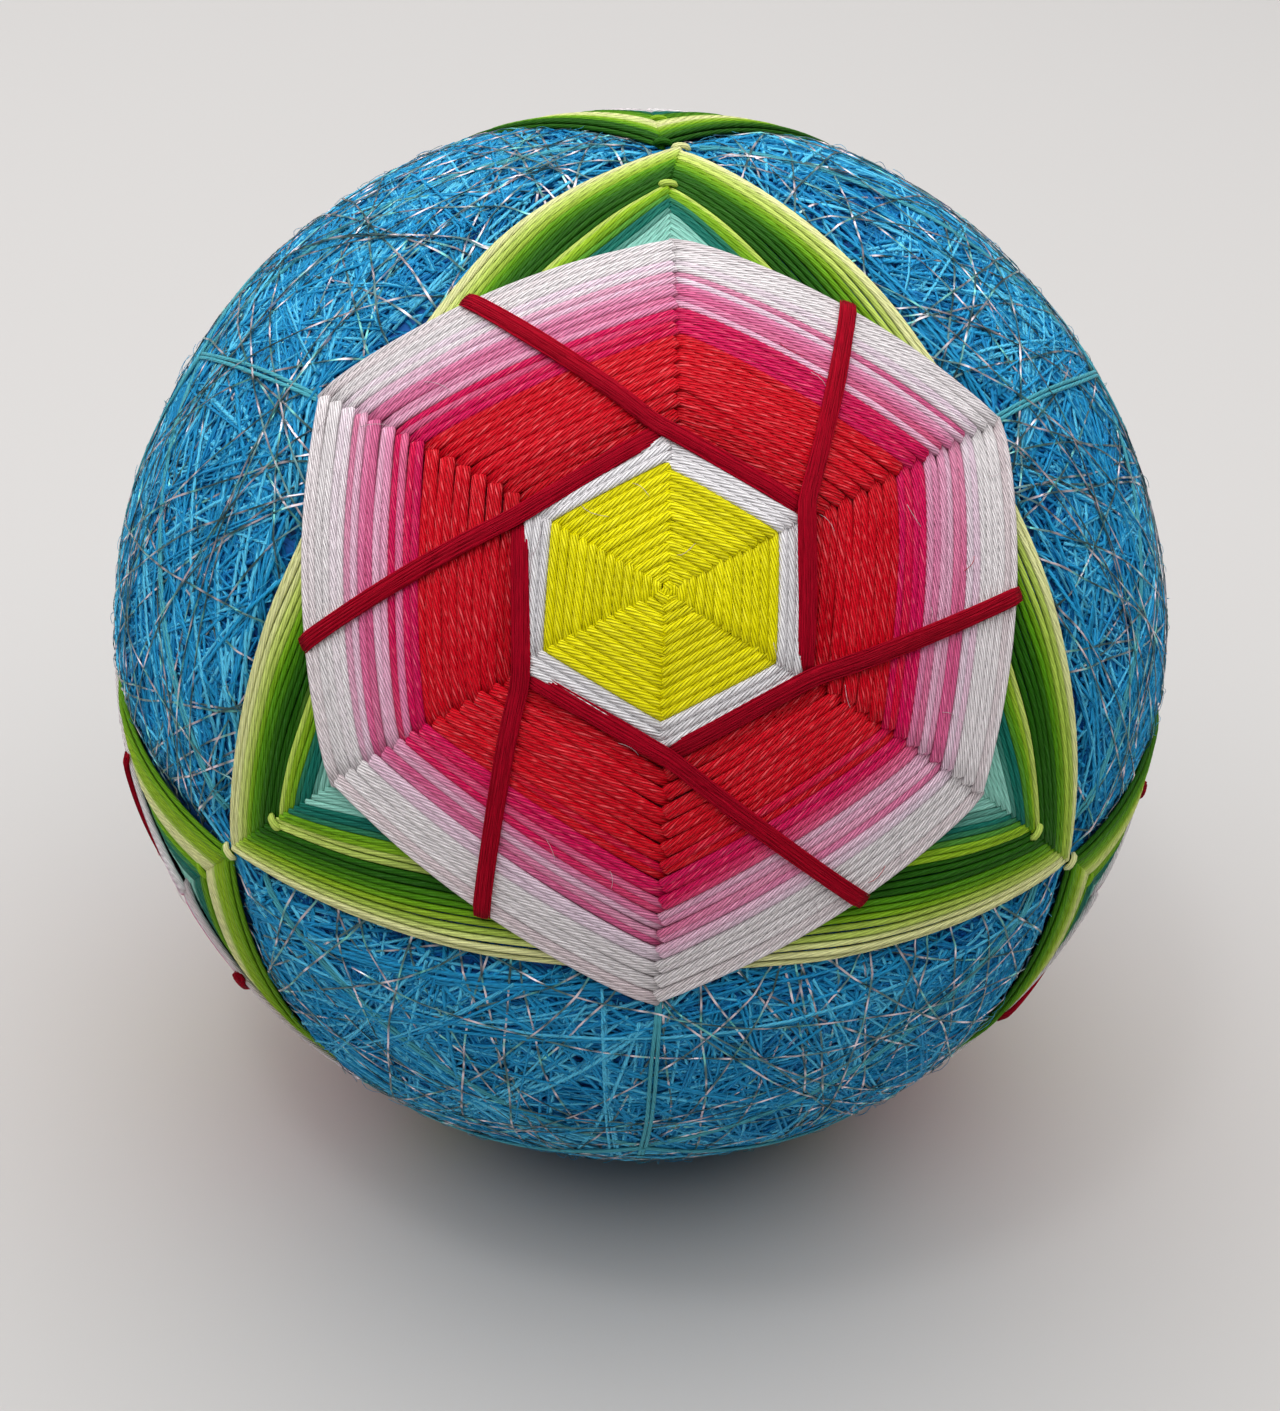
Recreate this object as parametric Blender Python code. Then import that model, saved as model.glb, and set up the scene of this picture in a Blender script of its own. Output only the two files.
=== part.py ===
"""Temari: a thread-wound ball with four stitched flowers, each on a three-cornered leaf frame.

Metres, +Z up. The origin is on the surface that the ball rests on, straight below its centre.
The flowers sit at the corners of a tetrahedron. Their leaf tips meet in pairs: one pair on top,
one pair underneath, which the ball rests on, and four pairs round the waist.
"""

import math

import bmesh
import bpy
from mathutils import Vector

# Driving sizes
CIRCUMFERENCE = 0.300
GAP = 0.0003
FACET_SAG = 0.0001  # how far a flat facet of a stitched piece dips below its arc
STITCH_SINK = 0.0010  # how deep the taut stitching sits in the winding
LEAF_THICKNESS, LEAF_COVERED_THICKNESS = 0.00125, 0.00036
PETAL_FLOOR, PETAL_TOP = 0.00078, 0.00128  # where the petals lie over a leaf or the winding
CENTRE_THICKNESS = 0.00130
LINE_WIDTH, LINE_THICKNESS = 0.0007, 0.00035
STRAND_WIDTH, STRAND_THICKNESS = 0.00115, 0.00040
REST_PRESS = 0.00060  # how far the lowest leaf tips are pressed flat

# Heights above the ball's centre. The turns of blue thread lie in the gap over the wound solid.
BALL_RADIUS = CIRCUMFERENCE / (2 * math.pi)
WOUND_RADIUS = BALL_RADIUS - GAP
SEAT_RADIUS = BALL_RADIUS - STITCH_SINK
RECESS_RADIUS = SEAT_RADIUS - GAP - 2 * FACET_SAG
PETAL_RECESS_RADIUS = BALL_RADIUS - 0.00095
LINE_SEAT_RADIUS = BALL_RADIUS + FACET_SAG
CENTRE = Vector((0, 0, SEAT_RADIUS + LEAF_THICKNESS - REST_PRESS))

# Angles seen from the ball's centre, in degrees
FLOWER_TILT = math.degrees(math.atan(math.sqrt(0.5)))
LEAF_INNER_TIP = 31.0
PETAL_INNER_CORNER = 16.1
PINWHEEL_OUTER_CORNER, PINWHEEL_INNER_CORNER = 15.7, 14.3
RING_OUTER_CORNER, RING_INNER_CORNER = 13.9, 11.4
MIDDLE_CORNER = 11.0
# The leaf comes up to its full height this far outside the petals, over this width
LEAF_CLEAR, LEAF_RISE = 2.0, 5.0
# The petals bridge this far past the leaf's inner edge, then come down to the ball over this width
COVER_MARGIN, COVER_INSIDE = 2.4, 6.0
# How far from the division planes the winding is back at its height, and the same round petals
FIELD_RAMP = 2.5
PETAL_RAMP_START, PETAL_RAMP = 1.0, 6.0
ARM_LEAD = 32.0  # azimuth of a strand's outer end before the corner that it runs to
ARM_INSET = 0.8
LINE_TO_TIP, LINE_TO_PETAL = 43.5, 27.0

# Steps along one side of each stitched solid, and of the ball
LEAF_STEPS, PETAL_STEPS, PINWHEEL_STEPS, RING_STEPS = 18, 6, 4, 3
ARM_STEPS, LINE_STEPS = 5, 5
# Lines of the ball's mesh, in degrees from a division plane, which they crowd towards
BALL_MERIDIANS = (0, 2.5, 8, 16, 25, 35, 45)
BALL_PARALLELS = (0, 2.5, 8, 16, 25, 35, 45, 55, 65, 74, 82, 87, 90)

# label, compass angle, side of the waist, radii of the three leaf tips, radii of the six petal corners
FLOWERS = (
    ("front", -90, 1, (53.2, 54.5, 54.5), (36.9, 40.1, 37.9, 41.6, 38.5, 42.0)),
    ("back", 90, 1, (54.4, 54.2, 54.4), (33.6, 38.0, 35.4, 38.8, 35.0, 38.2)),
    ("left", 180, -1, (54.5, 54.5, 54.2), (35.2, 38.6, 34.8, 37.8, 32.8, 38.2)),
    ("right", 0, -1, (54.5, 54.2, 54.5), (35.4, 38.4, 32.8, 37.6, 35.2, 38.6)),
)

# Sections go over the top from the outer edge to the inner edge, then back along the underside.
# Share of the band from outer to inner edge, share of the thickness
LEAF_SECTION = (
    (0.00, 0.50),
    (0.05, 1.00),
    (0.30, 0.96),
    (0.36, 0.70),
    (0.42, 0.92),
    (1.00, 0.55),
    (1.00, 0.00),
    (0.66, 0.00),
    (0.33, 0.00),
    (0.00, 0.00),
)
PETAL_INNER_HEIGHT, PETAL_INNER_SLOPE = 0.60, 0.18
PETAL_SECTION = (
    (0.00, 0.45),
    (0.06, 0.95),
    (0.20, 1.00),
    (0.36, 0.92),
    (0.40, 0.78),
    (0.44, 0.92),
    (0.66, 0.96),
    (1 - PETAL_INNER_SLOPE, 0.90),
    (1.00, PETAL_INNER_HEIGHT),
    (1.00, 0.00),
    (0.75, 0.00),
    (0.50, 0.00),
    (0.25, 0.00),
    (0.00, 0.00),
)
RING_SECTION = ((0.0, 0.5), (0.25, 1.0), (0.75, 1.0), (1.0, 0.5), (1.0, 0.0), (0.0, 0.0))
# Share of the radius, share of the thickness
MIDDLE_SECTION = ((0.0, 1.0), (0.5, 1.0), (0.92, 0.95), (1.0, 0.5), (1.0, 0.0), (0.5, 0.0), (0.0, 0.0))
# Share of the ring's width, height: 1 is clear of the petals' inner edge, 2 is one strand above that
PINWHEEL_SECTION = ((0.0, 1.0), (0.0, 2.0), (0.5, 2.1), (1.0, 1.6), (1.0, 0.0), (0.0, 0.0))

# lean from the upright, compass angle and strength of the broad bands of winding that shape the ball
WINDING_BANDS = ((12, 20, 1.0), (48, 75, 0.8), (71, 140, 0.9), (33, 205, 0.7), (84, 260, 1.0), (60, 320, 0.8))
BAND_RISE, BAND_SPREAD = 0.00015, 0.16

# base colour, roughness
FINISHES = {
    "blue_winding": ((0.03, 0.30, 0.62), 0.75),
    "green_thread": ((0.16, 0.42, 0.03), 0.55),
    "pink_thread": ((0.80, 0.16, 0.26), 0.45),
    "white_thread": ((0.82, 0.82, 0.80), 0.45),
    "yellow_thread": ((0.86, 0.80, 0.01), 0.45),
    "crimson_thread": ((0.38, 0.00, 0.02), 0.60),
    "turquoise_thread": ((0.08, 0.45, 0.50), 0.60),
}


def clear_scene():
    for obj in list(bpy.data.objects):
        bpy.data.objects.remove(obj, do_unlink=True)


def new_collection(name):
    made = bpy.data.collections.new(name)
    bpy.context.scene.collection.children.link(made)
    return made


def thread_material(name):
    colour, roughness = FINISHES[name]
    made = bpy.data.materials.new(name)
    made.use_nodes = True
    shader = made.node_tree.nodes["Principled BSDF"]
    shader.inputs["Base Color"].default_value = (*colour, 1)
    shader.inputs["Roughness"].default_value = roughness
    made.diffuse_color = (*colour, 1)
    return made


def take_mesh(name):
    """The mesh of the primitive just added, without its object."""
    primitive = bpy.context.object
    mesh = primitive.data
    mesh.name = name
    bpy.data.objects.remove(primitive)
    return mesh


def add_object(name, mesh, material, collection):
    obj = bpy.data.objects.new(name, mesh)
    obj.location = CENTRE
    mesh.materials.append(material)
    collection.objects.link(obj)
    mesh.shade_smooth()
    mesh.set_sharp_from_angle(angle=math.radians(40))
    return obj


class Motif:
    """A place on the ball, its axis pointing out, with directions measured from it in degrees."""

    def __init__(self, compass, side, leaf_tips=(), petal_corners=()):
        turn = math.radians(compass)
        rise = math.radians(FLOWER_TILT) * side
        level = math.cos(rise)
        self.axis = Vector((math.cos(turn) * level, math.sin(turn) * level, math.sin(rise)))
        pole = Vector((0, 0, side))
        self.up = (pole - self.axis * self.axis.dot(pole)).normalized()
        self.right = self.up.cross(self.axis)
        self.leaf_tips = leaf_tips
        self.petal_corners = petal_corners

    def tangent(self, azimuth):
        """Unit vector along the surface at the axis. Azimuths run clockwise from the pole's leaf tip."""
        angle = math.radians(azimuth)
        return self.up * math.cos(angle) + self.right * math.sin(angle)

    def direction(self, radius, azimuth):
        angle = math.radians(radius)
        return self.axis * math.cos(angle) + self.tangent(azimuth) * math.sin(angle)

    def measure(self, direction):
        """Radius and azimuth of a direction."""
        radius = math.degrees(direction.angle(self.axis))
        azimuth = math.degrees(math.atan2(direction.dot(self.right), direction.dot(self.up)))
        return radius, azimuth % 360

    def side_point(self, corners, turn):
        """A point on the polygon of taut threads between these corners, one unit of turn a side."""
        first = int(turn) % len(corners)
        second = (first + 1) % len(corners)
        step = 360 / len(corners)
        start = self.direction(corners[first], first * step)
        end = self.direction(corners[second], second * step)
        return start.slerp(end, turn - int(turn))

    def polygon_radius(self, corners, azimuth):
        """Radius of the same polygon at an azimuth."""
        step = 360 / len(corners)
        first = int(azimuth / step) % len(corners)
        second = (first + 1) % len(corners)
        start = self.direction(corners[first], first * step)
        end = self.direction(corners[second], second * step)
        plane = start.cross(end)
        return math.degrees(math.atan2(-self.axis.dot(plane), self.tangent(azimuth).dot(plane)) % math.pi)

    def leaf_row(self, share):
        """Radii of the leaf frame's tips, from its outer edge at share 0 to its inner edge at 1."""
        return [tip + (LEAF_INNER_TIP - tip) * share for tip in self.leaf_tips]

    def petal_row(self, share):
        return [corner + (PETAL_INNER_CORNER - corner) * share for corner in self.petal_corners]

    def leaf_thickness(self, direction):
        """Thickness of the leaf frame: pressed thin under the petals, full beside them."""
        radius, azimuth = self.measure(direction)
        beside = radius - self.polygon_radius(self.petal_row(0), azimuth) - LEAF_CLEAR
        rise = min(max(beside / LEAF_RISE, 0), 1)
        share = rise * rise * (3 - 2 * rise)
        return LEAF_COVERED_THICKNESS + (LEAF_THICKNESS - LEAF_COVERED_THICKNESS) * share

    def petal_floor(self, direction):
        """Height of the petals' underside: over the leaf and the winding, or down in the middle."""
        radius, azimuth = self.measure(direction)
        inside = self.polygon_radius(self.leaf_row(1), azimuth) - radius - COVER_MARGIN
        reach = min(max(1 - inside / COVER_INSIDE, 0), 1)
        return SEAT_RADIUS + PETAL_FLOOR * reach * reach * (3 - 2 * reach)

    def petal_level(self, direction, height):
        floor = self.petal_floor(direction)
        return floor + (SEAT_RADIUS + PETAL_TOP - floor) * height

    def petal_top(self, direction):
        radius, azimuth = self.measure(direction)
        outer = self.polygon_radius(self.petal_row(0), azimuth)
        inner = self.polygon_radius(self.petal_row(1), azimuth)
        from_inside = min(max((radius - inner) / (outer - inner), 0), 1)
        height = min(PETAL_INNER_HEIGHT + (1 - PETAL_INNER_HEIGHT) * from_inside / PETAL_INNER_SLOPE, 1)
        return self.petal_level(direction, height)


def band_mesh(name, sides, steps, section, place):
    """A closed band: a torus whose tube follows the section. place(turn, share, height) is a point."""
    bpy.ops.mesh.primitive_torus_add(
        major_segments=sides * steps, minor_segments=len(section), major_radius=1, minor_radius=0.25
    )
    mesh = take_mesh(name)
    for vertex in mesh.vertices:
        x, y, z = vertex.co
        column = round(math.atan2(-y, x) / math.tau * sides * steps) % (sides * steps)
        row = round(math.atan2(z, math.hypot(x, y) - 1) / math.tau * len(section)) % len(section)
        vertex.co = place(column / steps, *section[row])
    return mesh


def plate_mesh(name, sides, steps, section, place):
    """A closed plate: a sphere whose rings follow the section, from its top middle to its underside."""
    rings = len(section) - 1
    bpy.ops.mesh.primitive_uv_sphere_add(segments=sides * steps, ring_count=rings, radius=1)
    mesh = take_mesh(name)
    for vertex in mesh.vertices:
        x, y, z = vertex.co
        column = round(math.atan2(-y, x) / math.tau * sides * steps) % (sides * steps)
        row = round(math.acos(max(-1, min(1, z))) / math.pi * rings)
        vertex.co = place(column / steps, *section[row])
    return mesh


def extrude_arm(work, face, steps, section):
    """Draws one side face out into an arm. section(share) gives its middle, side, width, floor and top."""
    for step in range(1, steps + 1):
        face = bmesh.ops.extrude_discrete_faces(work, faces=[face])["faces"][0]
        direction, side, width, floor, top = section(step / steps)
        across = sorted(face.verts, key=lambda vertex: vertex.co.dot(side))
        for pair, edge in ((across[:2], -width / 2), (across[2:], width / 2)):
            lower, upper = sorted(pair, key=lambda vertex: vertex.co.length)
            lower.co = direction * floor + side * edge
            upper.co = direction * top + side * edge


def winding_rise(direction):
    """How far the broad bands of winding lift the ball's surface there, from 0 to 1."""
    rise = 0
    for lean, compass, strength in WINDING_BANDS:
        lean_angle, turn = math.radians(lean), math.radians(compass)
        level = math.sin(lean_angle)
        pole = Vector((level * math.cos(turn), level * math.sin(turn), math.cos(lean_angle)))
        rise = max(rise, strength * math.exp(-((direction.dot(pole) / BAND_SPREAD) ** 2)))
    return rise


def winding_level(direction, motifs):
    """Radius of the wound solid: full on the blue fields, pressed in under the stitching."""
    east = direction.dot(Vector((1, 1, 0)).normalized())
    west = direction.dot(Vector((1, -1, 0)).normalized())
    up = direction.z
    nearest = min(abs(east), abs(west), abs(up))
    # The division planes part the sphere in eight. Blue fields and flowers take turns.
    into_field = math.degrees(math.asin(nearest)) if east * west * up > 0 else 0
    full = WOUND_RADIUS - BAND_RISE * (1 - winding_rise(direction))
    level = RECESS_RADIUS + (full - RECESS_RADIUS) * min(into_field / FIELD_RAMP, 1)
    for motif in motifs:
        radius, azimuth = motif.measure(direction)
        if radius > 60:
            continue
        beside = radius - motif.polygon_radius(motif.petal_row(0), azimuth) - PETAL_RAMP_START
        rise = min(max(beside / PETAL_RAMP, 0), 1)
        level = min(level, PETAL_RECESS_RADIUS + (full - PETAL_RECESS_RADIUS) * rise)
    return level


def make_ball(motifs, collection, material):
    """A sphere whose mesh lines run along the division planes, so that its fields have clean borders."""
    half_quarter = len(BALL_MERIDIANS) - 1
    segments, rings = half_quarter * 8, (len(BALL_PARALLELS) - 1) * 2
    bpy.ops.mesh.primitive_uv_sphere_add(segments=segments, ring_count=rings, radius=1)
    mesh = take_mesh("wound_ball")
    for vertex in mesh.vertices:
        x, y, z = vertex.co
        column = round(math.atan2(y, x) / math.tau * segments) % segments
        from_plane = column % (2 * half_quarter) - half_quarter
        quarter = column // (2 * half_quarter)
        offset = math.copysign(BALL_MERIDIANS[abs(from_plane)], from_plane)
        compass = math.radians(quarter * 90 + 45 + offset)
        row = round(math.asin(max(-1, min(1, z))) / math.pi * rings)
        latitude = math.radians(math.copysign(BALL_PARALLELS[abs(row)], row))
        level = math.cos(latitude)
        direction = Vector((level * math.cos(compass), level * math.sin(compass), math.sin(latitude)))
        vertex.co = direction * winding_level(direction, motifs)
    return add_object("wound_ball", mesh, material, collection)


def make_leaf(label, motif, collection, material):
    """Green rows laid round a three-cornered frame, in two stages with a furrow between."""

    def place(turn, share, height):
        direction = motif.side_point(motif.leaf_row(share), turn)
        return direction * (SEAT_RADIUS + motif.leaf_thickness(direction) * height)

    mesh = band_mesh(f"leaf_{label}", 3, LEAF_STEPS, LEAF_SECTION, place)
    return add_object(f"leaf_{label}", mesh, material, collection)


def make_petals(label, motif, collection, material):
    """Rows of the six-sided flower, which bridge the ball and the leaf frame under them."""

    def place(turn, share, height):
        direction = motif.side_point(motif.petal_row(share), turn)
        return direction * motif.petal_level(direction, height)

    mesh = band_mesh(f"petals_{label}", 6, PETAL_STEPS, PETAL_SECTION, place)
    return add_object(f"petals_{label}", mesh, material, collection)


def make_ring(label, motif, collection, material):
    """The white rows round the yellow middle."""

    def place(turn, share, height):
        corner = RING_OUTER_CORNER + (RING_INNER_CORNER - RING_OUTER_CORNER) * share
        return motif.side_point([corner] * 6, turn) * (SEAT_RADIUS + CENTRE_THICKNESS * height)

    mesh = band_mesh(f"ring_{label}", 6, RING_STEPS, RING_SECTION, place)
    return add_object(f"ring_{label}", mesh, material, collection)


def make_middle(label, motif, collection, material):
    """The yellow rows, wound out from the flower's middle."""

    def place(turn, share, height):
        direction = motif.side_point([MIDDLE_CORNER * share] * 6, turn)
        return direction * (SEAT_RADIUS + CENTRE_THICKNESS * height)

    mesh = plate_mesh(f"middle_{label}", 6, RING_STEPS, MIDDLE_SECTION, place)
    return add_object(f"middle_{label}", mesh, material, collection)


def make_pinwheel(label, motif, collection, material):
    """Crimson thread: a hexagon round the middle, with a strand out over the petals before each corner."""

    def place(turn, share, height):
        corner = PINWHEEL_OUTER_CORNER + (PINWHEEL_INNER_CORNER - PINWHEEL_OUTER_CORNER) * share
        lip = motif.petal_top(motif.side_point([PETAL_INNER_CORNER] * 6, turn)) + GAP
        level = SEAT_RADIUS + (lip - SEAT_RADIUS) * min(height, 1) + STRAND_THICKNESS * max(height - 1, 0)
        return motif.side_point([corner] * 6, turn) * level

    mesh = band_mesh(f"pinwheel_{label}", 6, PINWHEEL_STEPS, PINWHEEL_SECTION, place)
    work = bmesh.new()
    work.from_mesh(mesh)
    for number in range(6):
        # The strand leaves the last stretch of the side that ends at its corner.
        root_point = place(number + 6 - 0.5 / PINWHEEL_STEPS, 0, 1.5)
        root = min(work.faces, key=lambda face: (face.calc_center_median() - root_point).length)
        start = root_point.normalized()
        end_azimuth = (number * 60 - ARM_LEAD) % 360
        end_radius = motif.polygon_radius(motif.petal_row(0), end_azimuth) - ARM_INSET
        end = motif.direction(end_radius, end_azimuth)
        side = start.cross(end).normalized()

        def section(share, start=start, end=end, side=side):
            direction = start.slerp(end, share)
            floor = motif.petal_top(direction) + GAP
            return direction, side, STRAND_WIDTH, floor, floor + STRAND_THICKNESS

        extrude_arm(work, root, ARM_STEPS, section)
    work.to_mesh(mesh)
    work.free()
    return add_object(f"pinwheel_{label}", mesh, material, collection)


def make_lines(label, compass, side, collection, material):
    """Turquoise dividing threads of one blue field: six arms from where three of them cross."""
    field = Motif(compass, side)
    floor, top = LINE_SEAT_RADIUS, LINE_SEAT_RADIUS + LINE_THICKNESS
    mesh = bpy.data.meshes.new(f"lines_{label}")
    work = bmesh.new()
    bmesh.ops.create_cone(work, cap_ends=True, segments=6, radius1=1, radius2=1, depth=2)
    sides = [face for face in work.faces if abs(face.normal.z) < 0.5]
    azimuths = [round(math.degrees(math.atan2(-face.normal.y, face.normal.x)) / 60) * 60 for face in sides]
    for vertex in work.verts:
        x, y, z = vertex.co
        azimuth = math.degrees(math.atan2(-y, x))
        level = top if z > 0 else floor
        vertex.co = field.axis * level + field.tangent(azimuth) * LINE_WIDTH
    for root, azimuth in zip(sides, azimuths):
        # Even arms run towards meeting leaf tips, odd arms towards petal corners.
        reach = LINE_TO_TIP if azimuth % 120 == 0 else LINE_TO_PETAL

        def section(share, azimuth=azimuth, reach=reach):
            direction = field.direction(reach * share, azimuth)
            return direction, field.tangent(azimuth + 90), LINE_WIDTH, floor, top

        extrude_arm(work, root, LINE_STEPS, section)
    work.to_mesh(mesh)
    work.free()
    return add_object(f"lines_{label}", mesh, material, collection)


def press_flat(leaves, cutters):
    """Flattens the leaf tips that the ball rests on, where its weight presses them."""
    reach, depth = 0.03, 0.02
    bpy.ops.mesh.primitive_cube_add(size=1)
    mesh = take_mesh("floor_cutter")
    for vertex in mesh.vertices:
        vertex.co = (vertex.co.x * reach, vertex.co.y * reach, (vertex.co.z - 0.5) * depth)
    floor = bpy.data.objects.new("floor_cutter", mesh)
    cutters.objects.link(floor)
    floor.hide_render = True
    floor.display_type = "WIRE"
    for leaf in leaves:
        cut = leaf.modifiers.new("rest", "BOOLEAN")
        cut.operation = "DIFFERENCE"
        cut.object = floor


def main():
    clear_scene()
    temari = new_collection("temari_ball")
    cutters = new_collection("cutters")
    threads = {name: thread_material(name) for name in FINISHES}
    motifs = [Motif(*flower[1:]) for flower in FLOWERS]
    make_ball(motifs, temari, threads["blue_winding"])
    low_leaves = []
    for (label, compass, side, _, _), motif in zip(FLOWERS, motifs):
        leaf = make_leaf(label, motif, temari, threads["green_thread"])
        if side < 0:
            low_leaves.append(leaf)
        make_petals(label, motif, temari, threads["pink_thread"])
        make_ring(label, motif, temari, threads["white_thread"])
        make_middle(label, motif, temari, threads["yellow_thread"])
        make_pinwheel(label, motif, temari, threads["crimson_thread"])
        make_lines(label, compass, -side, temari, threads["turquoise_thread"])
    press_flat(low_leaves, cutters)


main()
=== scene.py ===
# %% [markdown]
# # A temari ball, wound and stitched
# A temari is a ball of wadding wound with fine thread until it is round and firm. Dividing threads
# are laid over it, and patterns are stitched on those lines with thicker silky cotton. This one has
# four six-sided flowers, each on a green three-cornered leaf frame, on a bright blue ground.
# The lesson keeps one rule throughout: every thread that shows is a real tube that follows the way
# the thread is laid, and the finish (twist, fibres, sheen) comes from a material.

# %% Load the frame
import math
import bpy
import numpy as np
from mathutils import Matrix, Vector


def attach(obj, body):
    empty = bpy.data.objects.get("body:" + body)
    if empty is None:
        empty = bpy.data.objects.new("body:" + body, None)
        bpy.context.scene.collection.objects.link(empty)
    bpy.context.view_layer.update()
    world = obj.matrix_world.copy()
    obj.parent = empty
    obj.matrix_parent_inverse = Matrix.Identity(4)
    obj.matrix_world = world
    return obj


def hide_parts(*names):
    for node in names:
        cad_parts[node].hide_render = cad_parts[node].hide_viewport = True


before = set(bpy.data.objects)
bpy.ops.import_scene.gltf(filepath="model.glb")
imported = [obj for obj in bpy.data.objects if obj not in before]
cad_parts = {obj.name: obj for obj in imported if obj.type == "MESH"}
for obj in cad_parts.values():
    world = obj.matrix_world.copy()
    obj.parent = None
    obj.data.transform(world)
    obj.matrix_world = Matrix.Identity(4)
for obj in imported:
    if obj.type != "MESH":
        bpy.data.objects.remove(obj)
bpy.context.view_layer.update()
bpy.ops.object.select_all(action="DESELECT")
print("nodes in the frame:", len(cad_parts))

# %% [markdown]
# ## The sizes of the ball
# The winding is 300 mm round. Taut stitching sinks a millimetre into it, so the flowers stand hardly
# higher than the blue ground. The ball rests on two leaf tips that its weight presses flat. All
# angles below are seen from the centre, in degrees, because that is how a stitcher divides a ball.

# %% Sizes that the whole ball shares
CIRCUMFERENCE = 0.300
BALL_RADIUS = CIRCUMFERENCE / (2 * math.pi)
WOUND_RADIUS = BALL_RADIUS - 0.0003
SEAT_RADIUS = BALL_RADIUS - 0.0010
LEAF_THICKNESS, LEAF_COVERED_THICKNESS = 0.00125, 0.00072
PETAL_FLOOR, PETAL_TOP = 0.00078, 0.00128
CENTRE_THICKNESS = 0.00130
REST_PRESS = 0.00060
CENTRE = np.array([0.0, 0.0, SEAT_RADIUS + LEAF_THICKNESS - REST_PRESS])
FLOWER_TILT = math.degrees(math.atan(math.sqrt(0.5)))
DEGREE = BALL_RADIUS * math.pi / 180
print("ball radius", round(BALL_RADIUS * 1000, 2), "mm, one degree on it", round(DEGREE * 1000, 3), "mm")

# %% Where the stitched pieces begin and end, in degrees from the middle of a flower
LEAF_INNER_TIP = 31.0
PETAL_INNER_CORNER = 16.1
LEAF_CLEAR, LEAF_RISE = 0.0, 5.0
COVER_MARGIN, COVER_INSIDE = 2.4, 6.0

# label, compass angle, side of the waist, radii of the three leaf tips, radii of the six petal corners
FLOWERS = (
    ("front", -90, 1, (54.0, 57.4, 57.2), (36.9, 40.1, 37.9, 41.6, 38.5, 42.0)),
    ("back", 90, 1, (54.4, 52.0, 52.0), (32.6, 38.0, 35.4, 38.8, 35.0, 38.2)),
    ("left", 180, -1, (54.5, 57.0, 51.8), (35.2, 38.6, 34.8, 37.8, 32.8, 38.2)),
    ("right", 0, -1, (54.5, 51.8, 57.0), (35.4, 38.4, 32.8, 37.6, 35.2, 38.6)),
)
# A hand slips a little: the middle of the front flower sits this far off its point, at this azimuth,
# and the outermost tip of its leaf frame has turned this far
MIDDLE_SLIP, SLIP_AZIMUTH, TIP_SLIP = {"front": 0.6}, 265, {"front": 2.2}
# Where rows push each other outwards along a leaf's three sides: how far, at which share, how widely
LEAF_BULGES = {"front": ((0.0, 0.5, 0.3), (0.0, 0.5, 0.3), (2.9, 0.78, 0.21))}
USUAL_BULGES = ((1.8, 0.5, 0.4),) * 3
print("flowers:", [flower[0] for flower in FLOWERS])

# %% [markdown]
# ## Measuring on a ball
# A taut thread on a ball takes the shortest way, which is part of a great circle. So a side of a
# stitched shape is an even walk between two corner directions. A Motif is one place on the ball with
# its own compass: a radius and an azimuth from its middle give any direction, for whole arrays.


# %% Directions on the ball
def unit(vectors):
    return vectors / np.linalg.norm(vectors, axis=-1, keepdims=True)


def smooth(share):
    share = np.clip(share, 0, 1)
    return share * share * (3 - 2 * share)


def walk(start, end, share):
    """Directions on the great circle from start to end."""
    angle = np.arccos(np.clip(np.dot(start, end), -1, 1))
    share = np.atleast_1d(share)[:, None]
    return (np.sin((1 - share) * angle) * start + np.sin(share * angle) * end) / np.sin(angle)


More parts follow.
